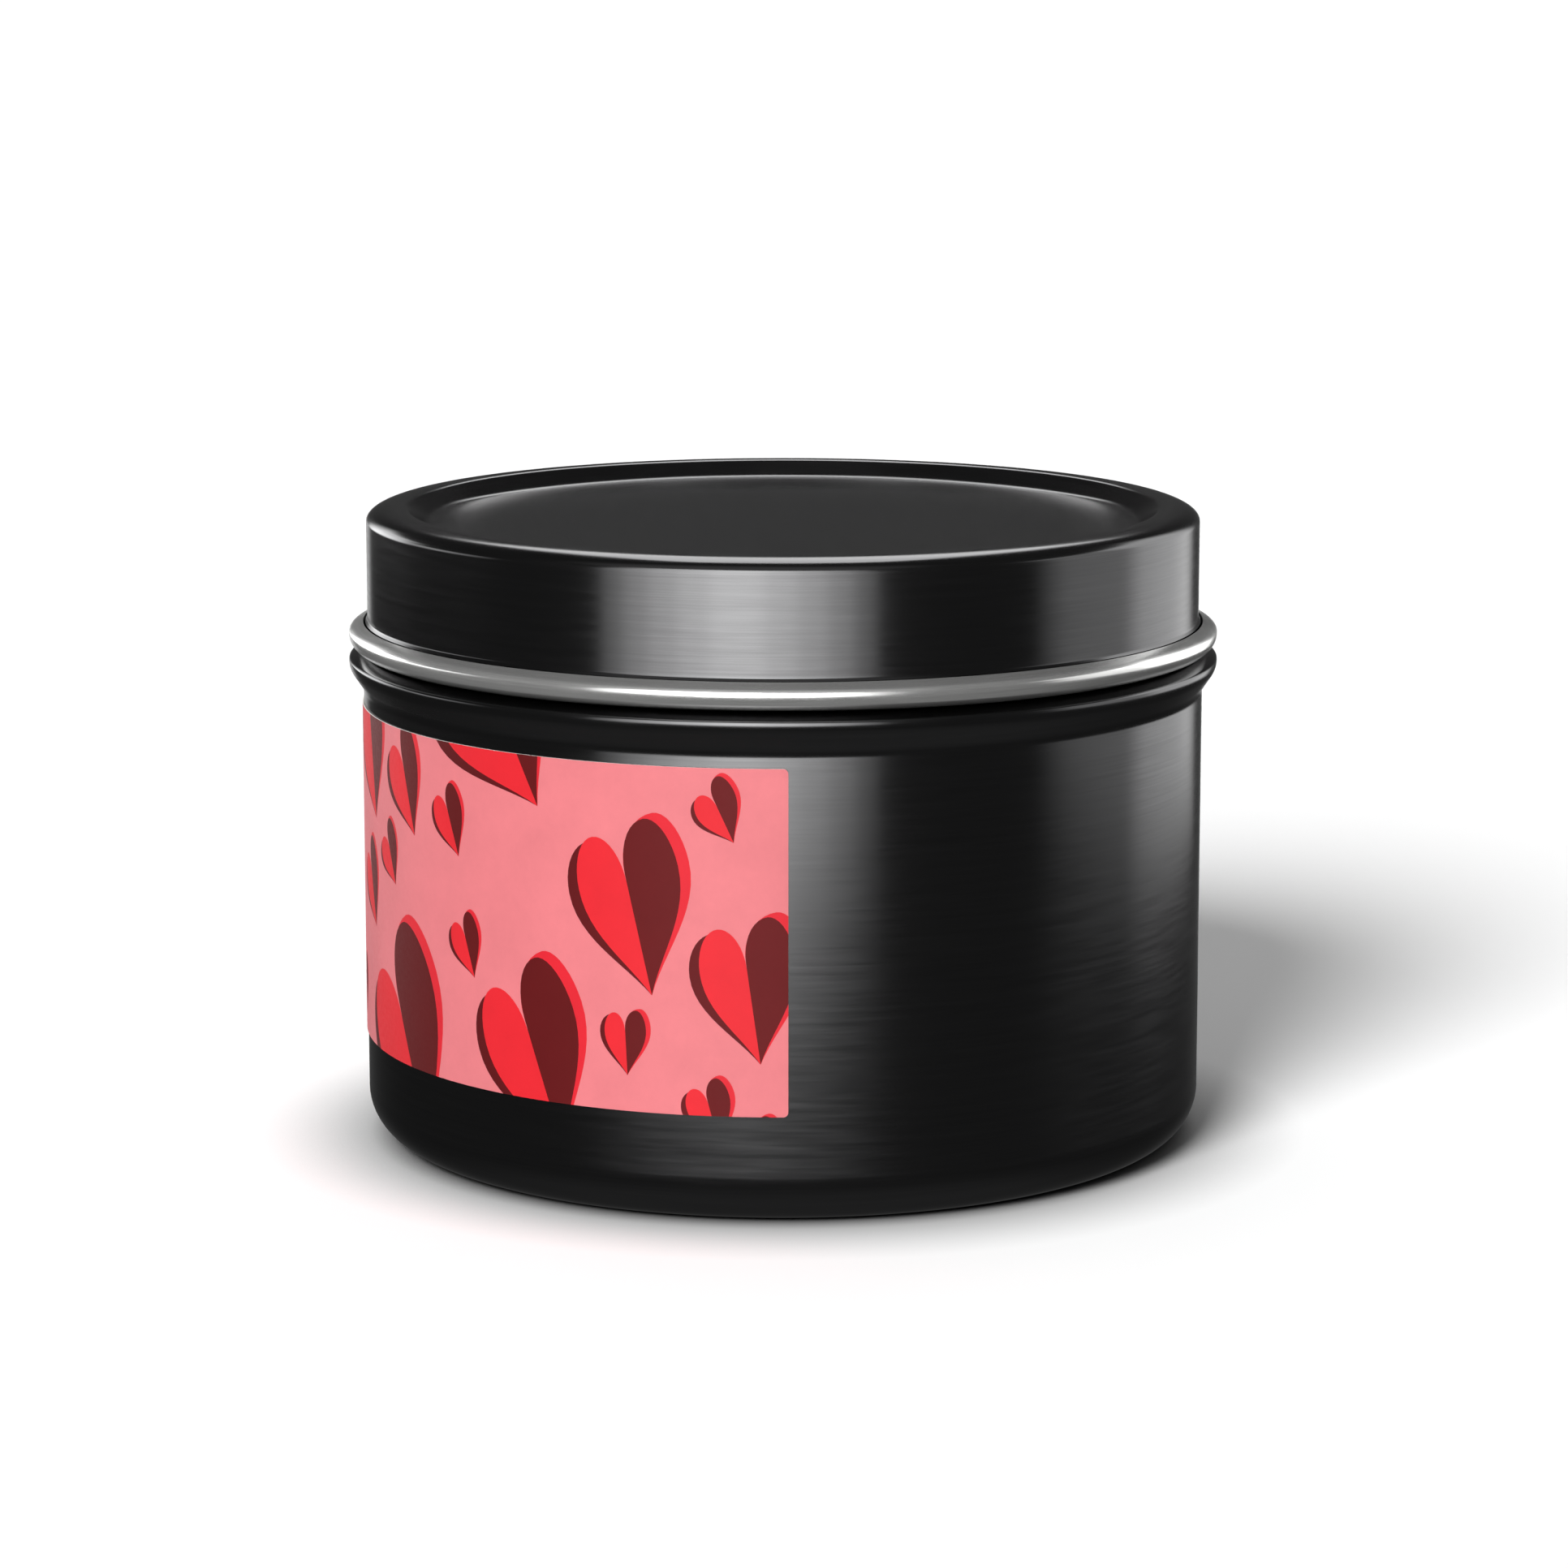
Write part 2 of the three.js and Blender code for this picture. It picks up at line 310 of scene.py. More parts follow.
class Shader:
    """A node material with one Principled surface, and short calls that add nodes to it."""

    def __init__(self, name, **values):
        self.material = bpy.data.materials.new(name)
        self.material.use_nodes = True
        self.tree = self.material.node_tree
        self.surface = self.tree.nodes["Principled BSDF"]
        for socket, value in values.items():
            if isinstance(value, tuple) and len(value) == 3 and socket != "Subsurface_Radius":
                value = (*value, 1)
            self.surface.inputs[socket.replace("_", " ")].default_value = value

    def node(self, kind, **values):
        """A new node with those of its settings."""
        made = self.tree.nodes.new(kind)
        for key, value in values.items():
            setattr(made, key, value)
        return made

    def link(self, output, target):
        self.tree.links.new(output, target)

    def texture(self, place, detail, roughness):
        """Noise with one feature per unit of the place given."""
        made = self.node("ShaderNodeTexNoise")
        made.inputs["Scale"].default_value = 1.0
        made.inputs["Detail"].default_value = detail
        made.inputs["Roughness"].default_value = roughness
        self.link(place, made.inputs["Vector"])
        return made.outputs["Fac"]

    def noise(self, scale, detail=2.0, roughness=0.5):
        """Noise on the piece's own coordinates, with scale features per metre on each axis."""
        place = self.node("ShaderNodeTexCoord")
        stretch = self.node("ShaderNodeMapping")
        stretch.inputs["Scale"].default_value = scale
        self.link(place.outputs["Object"], stretch.inputs["Vector"])
        return self.texture(stretch.outputs["Vector"], detail, roughness)

    def lines(self, around, across, detail=2.0, roughness=0.5):
        """Noise drawn out round the Z axis: around features per radian, and across per metre of section."""
        place = self.node("ShaderNodeTexCoord")
        split = self.node("ShaderNodeSeparateXYZ")
        self.link(place.outputs["Object"], split.inputs["Vector"])
        flat = self.node("ShaderNodeCombineXYZ")
        self.link(split.outputs["X"], flat.inputs["X"])
        self.link(split.outputs["Y"], flat.inputs["Y"])
        radius = self.node("ShaderNodeVectorMath", operation="LENGTH")
        self.link(flat.outputs["Vector"], radius.inputs[0])
        direction = self.node("ShaderNodeVectorMath", operation="NORMALIZE")
        self.link(flat.outputs["Vector"], direction.inputs[0])
        run = self.node("ShaderNodeMath", operation="SUBTRACT")
        self.link(split.outputs["Z"], run.inputs[0])
        self.link(radius.outputs["Value"], run.inputs[1])
        rise = self.node("ShaderNodeCombineXYZ")
        self.link(run.outputs["Value"], rise.inputs["Z"])
        stretch = self.node("ShaderNodeVectorMath", operation="MULTIPLY_ADD")
        stretch.inputs[1].default_value = (0, 0, across)
        self.link(rise.outputs["Vector"], stretch.inputs[0])
        turn = self.node("ShaderNodeVectorMath", operation="SCALE")
        turn.inputs["Scale"].default_value = around
        self.link(direction.outputs["Vector"], turn.inputs[0])
        self.link(turn.outputs["Vector"], stretch.inputs[2])
        return self.texture(stretch.outputs["Vector"], detail, roughness)

    def spread(self, value, low, high):
        """The middle of a noise's range stretched from low to high."""
        fit = self.node("ShaderNodeMapRange")
        fit.inputs["From Min"].default_value = NOISE_LOW
        fit.inputs["From Max"].default_value = NOISE_HIGH
        fit.inputs["To Min"].default_value = low
        fit.inputs["To Max"].default_value = high
        self.link(value, fit.inputs["Value"])
        return fit.outputs["Result"]

    def mix(self, share, low, high):
        """A colour between two, by a share from 0 to 1."""
        blend = self.node("ShaderNodeMix", data_type="RGBA")
        blend.inputs["A"].default_value = (*low, 1)
        blend.inputs["B"].default_value = (*high, 1)
        self.link(share, blend.inputs["Factor"])
        return blend.outputs["Result"]

    def paint(self, share, low, high):
        """Lets the colour vary between two."""
        self.link(self.mix(self.spread(share, 0, 1), low, high), self.surface.inputs["Base Color"])

    def gloss(self, share, low, high):
        """Lets the roughness vary between two values."""
        self.link(self.spread(share, low, high), self.surface.inputs["Roughness"])

    def relief(self, share, depth, strength=1.0):
        """Raises the surface by up to depth, in millimetres, where the share is high."""
        bump = self.node("ShaderNodeBump")
        bump.inputs["Strength"].default_value = strength
        bump.inputs["Distance"].default_value = depth * MM
        self.link(share, bump.inputs["Height"])
        self.link(bump.outputs["Normal"], self.surface.inputs["Normal"])


def scaled(colour, factor):
    """A colour made darker or lighter."""
    return tuple(c * factor for c in colour)


def black_coat():
    """Satin black lacquer over drawn steel, with the fine lines of the rolled sheet showing round it."""
    base = (0.07, 0.07, 0.071)
    coat = Shader("black_coat", Metallic=1.0, Roughness=0.17, Specular_Tint=(0.6, 0.6, 0.6))
    lines = coat.lines(2.5, 7000, detail=3, roughness=0.6)
    coat.paint(lines, scaled(base, 0.93), scaled(base, 1.07))
    coat.gloss(coat.lines(5, 2200), 0.15, 0.19)
    coat.relief(lines, 0.001, 0.3)
    return coat.material


def tinplate():
    """Bare bright tinplate with fine drawing lines."""
    base = (0.64, 0.64, 0.63)
    plate = Shader("tinplate", Metallic=0.85, Roughness=0.22)
    lines = plate.lines(3, 6000, detail=3, roughness=0.6)
    plate.paint(lines, scaled(base, 0.92), scaled(base, 1.06))
    plate.gloss(plate.lines(8, 1800), 0.19, 0.25)
    plate.relief(lines, 0.001, 0.3)
    return plate.material


def film(name, colour):
    """One ink of the printed label, on a smooth film with a faint paper grain under it."""
    ink = Shader(name, Roughness=0.5, Specular_IOR_Level=0.15)
    grain = ink.noise((2600, 2600, 2600), detail=3, roughness=0.65)
    blotches = ink.noise((170, 170, 170), detail=5, roughness=0.7)
    ink.paint(blotches, scaled(colour, 0.95), scaled(colour, 1.05))
    ink.gloss(grain, 0.46, 0.56)
    ink.relief(grain, 0.006, 0.3)
    return ink.material


def paper(name, colour):
    """Uncoated label paper."""
    stock = Shader(name, Roughness=0.75, Specular_IOR_Level=0.3)
    fibre = stock.noise((1500, 3500, 2500), detail=4, roughness=0.7)
    stock.paint(fibre, scaled(colour, 0.94), colour)
    stock.relief(fibre, 0.012, 0.5)
    return stock.material


def soft_wax():
    """Poured soy wax: creamy, a little translucent, with a frosted bloom."""
    fill = Shader("soy_wax", Roughness=0.5, Subsurface_Weight=0.35, Subsurface_Radius=(1.0, 0.8, 0.5),
                  Subsurface_Scale=0.003, Specular_IOR_Level=0.4)
    bloom = fill.noise((90, 90, 90), detail=6, roughness=0.65)
    fill.paint(bloom, (0.78, 0.71, 0.56), (0.88, 0.83, 0.71))
    fill.gloss(bloom, 0.38, 0.62)
    fill.relief(fill.noise((420, 420, 420), detail=4), 0.05, 0.35)
    return fill.material


def cotton():
    """Waxed cotton yarn."""
    yarn = Shader("cotton_yarn", Roughness=0.85, Sheen_Weight=0.3)
    fibre = yarn.noise((2500, 2500, 700), detail=4, roughness=0.7)
    yarn.paint(fibre, (0.66, 0.60, 0.47), (0.84, 0.79, 0.67))
    yarn.relief(fibre, 0.06, 0.8)
    return yarn.material


def foam():
    """Closed-cell sticker foam."""
    cells = Shader("sticker_foam", Roughness=0.9)
    pores = cells.noise((2200, 2200, 2200), detail=2)
    cells.paint(pores, (0.70, 0.70, 0.67), (0.86, 0.86, 0.83))
    cells.relief(pores, 0.08, 0.7)
    return cells.material


# ---------------------------------------------------------------- tin and lid

def sheet_pieces(name, path, body, node):
    """The two faces of a piece of coated sheet: black outside, bare tinplate inside."""
    outside = lathe(name + "_outside", skin(path, 0, COAT), BLACK)
    inside = lathe(name + "_inside", skin(path, COAT + SKIN_GAP, SHEET), PLATE)
    for obj, slot in ((outside, "black_coat"), (inside, "tinplate")):
        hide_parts(node)
        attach(obj, body)


def tin_body():
    """Drawn body: recessed base, fillet, wall, seating bead, neck and a rim rolled inwards."""
    bead_centre_r = NECK_R + 2 * NECK_FILLET
    bead_half_width = BODY_R + BEAD_REACH - bead_centre_r
    bead_top = (bead_centre_r, BEAD_TOP_Z)
    nose_corner = (BODY_R + BEAD_REACH, BEAD_TOP_Z - BEAD_TOP_FALL)
    nose_z = nose_corner[1] - BEAD_NOSE_BEND
    roll_z = TIN_HIGH.z - RIM_ROLL_RADIUS
    panel_edge = (STANDING_INNER_R - BASE_STEP_WIDTH, BASE_RECESS)
    ring_edge = (STANDING_INNER_R, 0.0)
    lower_round = arc(bead_centre_r, nose_z, bead_half_width, BEAD_LOWER_ROUND, -BEAD_TAPER_ANGLE, 0)
    foot = (BODY_R, BEAD_FOOT_Z)
    path = supported([
        (0.0, BASE_RECESS),
        *rounded((0.0, BASE_RECESS), panel_edge, ring_edge, BASE_PANEL_BEND),
        *rounded(panel_edge, ring_edge, (STANDING_OUTER_R, 0.0), STANDING_RING_BEND),
        *arc(STANDING_OUTER_R, BASE_FILLET, BASE_FILLET, BASE_FILLET, -90, 0),
        *rounded((BODY_R, BASE_FILLET), foot, lower_round[0], BEAD_FOOT_BEND),
        *lower_round,
        *rounded(lower_round[-1], nose_corner, bead_top, BEAD_NOSE_BEND)[1:],
        *rounded(nose_corner, bead_top, (NECK_R, BEAD_TOP_Z), BEAD_TOP_BEND),
        *arc(NECK_R + NECK_FILLET, BEAD_TOP_Z + NECK_FILLET, NECK_FILLET, NECK_FILLET, 270, 180),
        *arc(NECK_R - RIM_ROLL_RADIUS, roll_z, RIM_ROLL_RADIUS, RIM_ROLL_RADIUS, 0, 270),
    ])
    sheet_pieces("tin", path, "tin", "tin_body")


def dish(panel_r, panel_z):
    """The panel's gentle rise towards its edge, from the edge inwards."""
    points = []
    for i in range(1, DISH_STEPS + 1):
        share = 1 - i / DISH_STEPS
        points.append((panel_r - DISH_WIDTH * i / DISH_STEPS, panel_z + DISH_RISE * share ** 2))
    return points


def lid():
    """Drawn lid: recessed panel, crest, rounded shoulder, wall and a curl turned outwards and up."""
    panel_r = LID_R - SHOULDER_WIDTH - CREST_WIDTH - RECESS_STEP_WIDTH
    panel_z = LID_HIGH.z - RECESS_DEPTH
    curl_r = LID_R + CURL_SLIT
    turn_top_z = CURL_BOTTOM_Z + SHEET + CURL_TURN
    lip_z = CURL_BOTTOM_Z + SHEET + CURL_HEIGHT
    lip = (curl_r, lip_z)
    nose_corner = (curl_r + CURL_REACH, lip_z - CURL_NOSE_FALL)
    nose_z = nose_corner[1] - CURL_NOSE_STRAIGHT
    lower = arc(curl_r, nose_z, CURL_REACH, nose_z - SHEET - CURL_BOTTOM_Z, 0, -90)
    flare_foot = (LID_R + FLARE_REACH, lip_z + SHEET)
    flare_top = (LID_R, lip_z + SHEET + FLARE_HEIGHT)
    wall_top = (LID_R, LID_HIGH.z - SHOULDER_DROP)
    crest_edge = (panel_r + RECESS_STEP_WIDTH, LID_HIGH.z)
    panel_edge = (panel_r, panel_z + DISH_RISE)
    panel = dish(panel_r, panel_z)
    path = supported([
        lip,
        *rounded(lip, nose_corner, lower[0], CURL_NOSE_BEND),
        *lower,
        *arc(LID_R + CURL_TURN, turn_top_z, CURL_TURN, CURL_TURN, 270, 180),
        flare_foot,
        *rounded(flare_foot, flare_top, wall_top, FLARE_BEND),
        *arc(LID_R - SHOULDER_WIDTH, wall_top[1], SHOULDER_WIDTH, SHOULDER_DROP, 0, 90),
        *rounded((LID_R - SHOULDER_WIDTH, LID_HIGH.z), crest_edge, panel_edge, CREST_BEND),
        *rounded(crest_edge, panel_edge, panel[0], PANEL_BEND),
        *panel[1:],
        (0.0, panel_z),
    ])
    sheet_pieces("lid", path, "lid", "lid")


# ---------------------------------------------------------------- front label

# The printed hearts. Each stands on its tip: the tip's place on the label from its right end and its
# bottom edge, the lean to the left in degrees, the length and width of the left and right lobe,
# and the width of the rim that makes it look cut from thick card.
HEARTS = [
    (-12.0, 10.5, 13, 14.6, 4.7, 15.4, 4.95, 1.05),
    (-2.4, 4.7, 8, 12.35, 4.15, 12.9, 4.3, 0.95),
    (-4.7, 24.3, 25, 4.95, 2.0, 5.9, 1.95, 0.42),
    (-14.3, 3.2, 3, 5.6, 1.95, 5.8, 1.95, 0.45),
    (-6.0, -2.6, 15, 5.4, 2.0, 5.9, 2.0, 0.5),
    (-20.6, -4.2, 20, 15.5, 5.3, 17.0, 5.4, 1.05),
    (-37.5, -7.1, 25, 17.9, 7.3, 20.4, 7.1, 1.15),
    (-30.7, 10.0, 19, 5.25, 2.0, 5.85, 1.85, 0.42),
    (-32.7, 20.7, 21, 5.85, 2.15, 6.5, 2.05, 0.42),
    (-39.7, 21.5, 19, 8.6, 3.4, 10.4, 2.85, 0.7),
    (-23.1, 26.4, 27, 16.0, 8.2, 17.0, 4.8, 1.3),
    (-49.2, 21.5, 13, 12.0, 5.6, 13.0, 4.3, 0.8),
    (-43.8, 16.3, 25, 4.85, 2.3, 6.0, 1.95, 0.38),
    (-49.7, 11.3, 21, 7.2, 2.9, 8.3, 2.55, 0.55),
    (-2.0, -5.6, 12, 5.0, 2.0, 5.6, 2.0, 0.45),
    (-62.5, 12.4, 16, 14.0, 4.7, 15.2, 4.9, 1.0),
    (-56.4, 1.6, 10, 5.4, 2.0, 5.9, 1.95, 0.42),
    (-67.3, -3.5, 18, 12.4, 4.4, 13.6, 4.4, 0.95),
    (-69.8, 24.6, 22, 5.2, 2.0, 6.0, 1.9, 0.42),
    (-73.6, 12.8, 12, 6.6, 2.4, 7.2, 2.3, 0.5),
    (-79.0, 20.4, 20, 15.0, 5.2, 16.5, 5.2, 1.05),
    (-82.4, 2.6, 15, 13.6, 4.6, 14.6, 4.7, 1.0),
    (-90.6, 19.8, 17, 5.6, 2.1, 6.3, 2.0, 0.45),
    (-92.2, 5.4, 24, 5.0, 2.1, 6.0, 1.95, 0.42),
    (-98.0, 13.6, 13, 9.4, 3.3, 10.2, 3.3, 0.75),
    (-97.2, -4.6, 19, 11.2, 4.0, 12.4, 4.1, 0.9),
    (-87.0, 27.2, 12, 9.0, 3.4, 10.0, 3.2, 0.7),
    (-101.0, 26.0, 20, 12.0, 4.4, 13.0, 4.2, 0.9),
]
CLEFT = 0.70  # height of the widest part of a lobe, as a share of its length
EVEN_LEAN = 0.5  # where across its width a lobe is highest
DARK_LEAN = 0.56
RIM_LEAN = 0.62
RIM_RISE = 0.35  # how much higher or lower the rim is than its lobe, in rim widths

INKS = {
    "ground": linear(204, 112, 117),
    "shade": linear(80, 13, 16),
    "bright": linear(202, 33, 42),
    "rim": linear(198, 32, 44),
    "dark": linear(83, 14, 16),
}


def cubic(points, steps=12):
    """Points of a cubic curve, without its first one."""
    out = []
    for i in range(1, steps + 1):
        t = i / steps
        weights = ((1 - t) ** 3, 3 * t * (1 - t) ** 2, 3 * t ** 2 * (1 - t), t ** 3)
        out.append(tuple(sum(w * p[k] for w, p in zip(weights, points)) for k in (0, 1)))
    return out


def lobe(length, width, side, lean=EVEN_LEAN, steps=18):
    """Half a heart on its tip: a round top and a flank that runs down to the tip."""
    cleft = CLEFT * length
    outline = []
    for i in range(steps + 1):
        angle = math.pi * (1 - i / steps)
        half = lean * width if i < steps / 2 else (1 - lean) * width
        x = lean * width + half * math.cos(angle)
        outline.append((x, cleft + (length - cleft) * math.sin(angle)))
    flank = [(width, cleft), (width, 0.6 * cleft), (0.33 * width, 0.33 * cleft), (0.0, 0.0)]
    return [(side * x, y) for x, y in outline + cubic(flank)]


def heart(tip_u, tip_v, tilt, left_length, left_width, right_length, right_width, rim):
    """The four printed shapes of a heart, in the order they are printed."""
    cos, sin = math.cos(math.radians(tilt)), math.sin(math.radians(tilt))
    shapes = [
        ("shade", lobe(left_length - RIM_RISE * rim, left_width + rim, -1)),
        ("rim", lobe(right_length + RIM_RISE * rim, right_width + rim, 1, lean=RIM_LEAN)),
        ("bright", lobe(left_length, left_width, -1)),
        ("dark", lobe(right_length, right_width, 1, lean=DARK_LEAN)),
    ]
    return [(ink, [(tip_u + x * cos - y * sin, tip_v + x * sin + y * cos) for x, y in outline])
            for ink, outline in shapes]


def rounded_rectangle(low, high, corner, steps=6):
    """Outline of a rectangle with round corners, anticlockwise."""
    corners = [
        (high[0], high[1], 0),
        (low[0], high[1], 90),
        (low[0], low[1], 180),
        (high[0], low[1], 270),
    ]
    outline = []
    for x, y, start in corners:
        cx = x - corner if x == high[0] else x + corner
        cy = y - corner if y == high[1] else y + corner
        for i in range(steps + 1):
            angle = math.radians(start + 90 * i / steps)
            outline.append((cx + corner * math.cos(angle), cy + corner * math.sin(angle)))
    return outline


def inside(points, outline):
    """Which of the points lie inside a closed outline."""
    hit = np.zeros(len(points), bool)
    x, y = points[:, 0], points[:, 1]
    for (x0, y0), (x1, y1) in zip(outline, outline[1:] + outline[:1]):
        if y0 == y1:
            continue
        crosses = (y0 > y) != (y1 > y)
        hit ^= crosses & (x < x0 + (y - y0) * (x1 - x0) / (y1 - y0))
    return hit


def front_label():
    """A printed film label wrapped round the wall. The print is in its faces' own materials."""
    height = FRONT_LABEL_HIGH.z - FRONT_LABEL_LOW.z
    half = LABEL_WIDTH / 2
    border = rounded_rectangle((-half, 0.0), (half, height), LABEL_CORNER)
    printed = [(ink, [(half + u, v) for u, v in outline]) for h in HEARTS for ink, outline in heart(*h)]
    points, edges = [], []
    for outline in [border] + [shape for _, shape in printed]:
        first = len(points)
        points += outline
        edges += [(first + i, first + (i + 1) % len(outline)) for i in range(len(outline))]
    for i in range(1, LABEL_COLUMNS):
        u = -half + LABEL_WIDTH * i / LABEL_COLUMNS
        edges.append((len(points), len(points) + 1))
        points += [(u, -1.0), (u, height + 1.0)]
    flat, _, triangles, *_ = delaunay_2d_cdt([Vector(p) for p in points], edges, [], 0, MERGED)
    uv = np.array([tuple(p) for p in flat])
    corners = np.array([tuple(t) for t in triangles])
    middles = uv[corners].mean(axis=1)
    kept = inside(middles, border)
    corners, middles = corners[kept], middles[kept]
    names = list(INKS)
    ink_of = np.zeros(len(corners), int)
    for ink, outline in printed:
        ink_of[inside(middles, outline)] = names.index(ink)
    build_label(uv, corners, ink_of)


def build_label(uv, corners, ink_of):
    """Wraps the label's flat triangles round the wall, and gives them a back and cut edges."""
    outer_r = LABEL_INNER_R + LABEL_THICKNESS
    bottom = FRONT_LABEL_LOW.z
    used = np.unique(corners)
    place = np.full(len(uv), -1)
    place[used] = np.arange(len(used))
    corners = place[corners]
    uv = uv[used]
    angle = uv[:, 0] / BODY_R
    direction = np.stack([np.sin(angle), -np.cos(angle), np.zeros(len(uv))], axis=1)
    rise = np.stack([np.zeros(len(uv)), np.zeros(len(uv)), bottom + uv[:, 1]], axis=1)
    vertices = np.vstack([direction * outer_r + rise, direction * LABEL_INNER_R + rise])
    count = len(uv)
    a, b, c = (uv[corners[:, k]] for k in range(3))
    turned = (b[:, 0] - a[:, 0]) * (c[:, 1] - a[:, 1]) - (b[:, 1] - a[:, 1]) * (c[:, 0] - a[:, 0]) < 0
    corners[turned] = corners[turned][:, ::-1]
    front = [tuple(int(v) for v in t) for t in corners]
    back = [tuple(v + count for v in reversed(t)) for t in front]
    seen = {(t[k], t[(k + 1) % 3]) for t in front for k in range(3)}
    rim_edges = [(s, e) for s, e in seen if (e, s) not in seen]
    sides = [(e, s, s + count, e + count) for s, e in sorted(rim_edges)]
    label = new_object("front_label_film", [tuple(v) for v in vertices], front + back + sides,
                       *[film("print_" + ink, colour) for ink, colour in INKS.items()],
                       paper("label_stock", (0.80, 0.77, 0.74)))
    stock = len(INKS)
    mesh = label.data
    slots = [int(i) for i in ink_of] + [stock] * (len(back) + len(sides))
    mesh.polygons.foreach_set("material_index", slots)
    mesh.shade_smooth()
    normals = []
    for polygon in mesh.polygons:
        for v in polygon.vertices:
            if polygon.index < len(front):
                normals.append(tuple(direction[v % count]))
            elif polygon.index < len(front) + len(back):
                normals.append(tuple(-direction[v % count]))
            else:
                normals.append(tuple(polygon.normal))
    mesh.normals_split_custom_set(normals)
    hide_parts("front_label")
    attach(label, "tin")


# ---------------------------------------------------------------- candle

def wax():
    """Poured wax, with a low meniscus at the wall and at the wick and a slightly uneven top."""
    outer_r = BODY_R - SHEET - INNER_GAP
    fillet_r = BASE_FILLET - SHEET - INNER_GAP
    top_z = WAX_HIGH.z - WALL_MENISCUS_HEIGHT
    recess_z = WAX_LOW.z + BASE_RECESS
    neck_clear_r = BORE_R + TAB_ROOM
    neck_clear_z = TAB_HIGH.z + INNER_GAP
    tab_clear_r = TAB_HIGH.x + INNER_GAP
    tab_clear_z = TAB_LOW.z + TAB_ROOM
    top = []
    for i in range(WAX_TOP_STEPS + 1):
        r = outer_r + (BORE_R - outer_r) * (i / WAX_TOP_STEPS) ** 1.3
        wall = WALL_MENISCUS_HEIGHT * math.exp(-(outer_r - r) / WALL_MENISCUS_WIDTH)
        core = WICK_MENISCUS_HEIGHT * math.exp(-(r - BORE_R) / WICK_MENISCUS_WIDTH)
        top.append((r, top_z + wall + core))
    section = supported([
        (tab_clear_r, recess_z),
        (STANDING_INNER_R - BASE_STEP_WIDTH + SHEET, recess_z),
        (STANDING_INNER_R + SHEET, WAX_LOW.z),
        *arc(outer_r - fillet_r, WAX_LOW.z + fillet_r, fillet_r, fillet_r, -90, 0),
        *top,
        (BORE_R, neck_clear_z),
        (neck_clear_r, neck_clear_z),
        (neck_clear_r, tab_clear_z),
        (tab_clear_r, tab_clear_z),
    ], longest=4.0)

    def uneven(r, z, angle):
        ripple_outer_r = outer_r - RIPPLE_MARGIN
        if z < top_z - 0.01 or r < RIPPLE_INNER_R or r > ripple_outer_r:
            return r, z
        wave = math.sin(2 * angle + 0.6)
        wave += 0.6 * math.sin(3 * angle + r / 6)
        wave += 0.4 * math.cos(5 * angle - r / 4)
        fade = min(1, (r - RIPPLE_INNER_R) / 5, (ripple_outer_r - r) / 4)
        return r, z + RIPPLE_HEIGHT * wave * fade

    fill = lathe("wax_fill", section, soft_wax(), shape=uneven)
    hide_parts("wax")
    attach(fill, "tin")


def wick():
    """Cotton wick: three yarns plaited along its length, inside the CAD rod's radius."""
    radius = WICK_HIGH.x
    yarn_r = YARN_SHARE * radius
    sway = radius - yarn_r
    height = WICK_HIGH.z - WICK_LOW.z
    steps = int(height / PLAIT_PITCH * PLAIT_STEPS)
    vertices, faces = [], []
    for strand in range(3):
        line = []
        for i in range(steps + 1):
            rise = height * i / steps
            turn = 2 * math.pi * (rise / PLAIT_PITCH + strand / 3)
            aside = PLAIT_FLATNESS * sway * math.sin(2 * turn)
            line.append((sway * math.sin(turn), aside, WICK_LOW.z + rise))
        yarn, yarn_faces = tube(line, yarn_r, YARN_SIDES)
        faces += [tuple(v + len(vertices) for v in f) for f in yarn_faces]
        vertices += yarn
    vertices = [(x, y, min(max(z, WICK_LOW.z), WICK_HIGH.z)) for x, y, z in vertices]
    plait = smooth(new_object("wick_plait", vertices, faces, cotton()), crease=50)
    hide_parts("wick")
    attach(plait, "tin")


def wick_tab():
    """Pressed tab: a disc with a turned edge and a neck crimped round the wick at three places."""
    low, high = TAB_LOW.z, TAB_HIGH.z
    disc_r = TAB_HIGH.x
    disc_top = low + TAB_SHEET
    neck_r = BORE_R + TAB_SHEET
    middle = (low + high) / 2 + CRIMP_ABOVE_MIDDLE
    section = supported([
        (BORE_R, low),
        (disc_r - TAB_EDGE_WIDTH, low),
        (disc_r, low + TAB_EDGE_HEIGHT),
        (disc_r, disc_top - TAB_EDGE_HEIGHT),
        (disc_r - TAB_EDGE_WIDTH, disc_top),
        *rounded((disc_r, disc_top), (neck_r, disc_top), (neck_r, high), TAB_NECK_BEND),
        (neck_r, high - TAB_EDGE_HEIGHT),
        (neck_r - TAB_EDGE_HEIGHT, high),
        (BORE_R, high),
    ], longest=1.0)

    def crimped(r, z, angle):
        if r < BORE_R + 0.1 or r > neck_r + 0.1 or z < low + 1:
            return r, z
        dent = max(0.0, math.cos(3 * angle)) ** 2 * math.exp(-((z - middle) / CRIMP_HEIGHT) ** 2)
        return r - CRIMP_DEPTH * dent, z

    tab = lathe("wick_tab_pressed", section, PLATE, segments=SMALL_SEGMENTS, shape=crimped)
    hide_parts("wick_tab")
    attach(tab, "tin")


def disc(name, node, bend, material, radius, segments):
    """A flat disc with a rounded edge, in place of a CAD disc."""
    low, high = (p.z for p in box_mm(node))
    section = supported([
        (0.0, low),
        *rounded((0.0, low), (radius, low), (radius, high), bend, steps=4),
        *rounded((radius, low), (radius, high), (0.0, high), bend, steps=4),
        (0.0, high),
    ])
    obj = lathe(name, section, material, segments=segments)
    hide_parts(node)
    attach(obj, "tin")


# ---------------------------------------------------------------- camera, floor and lights

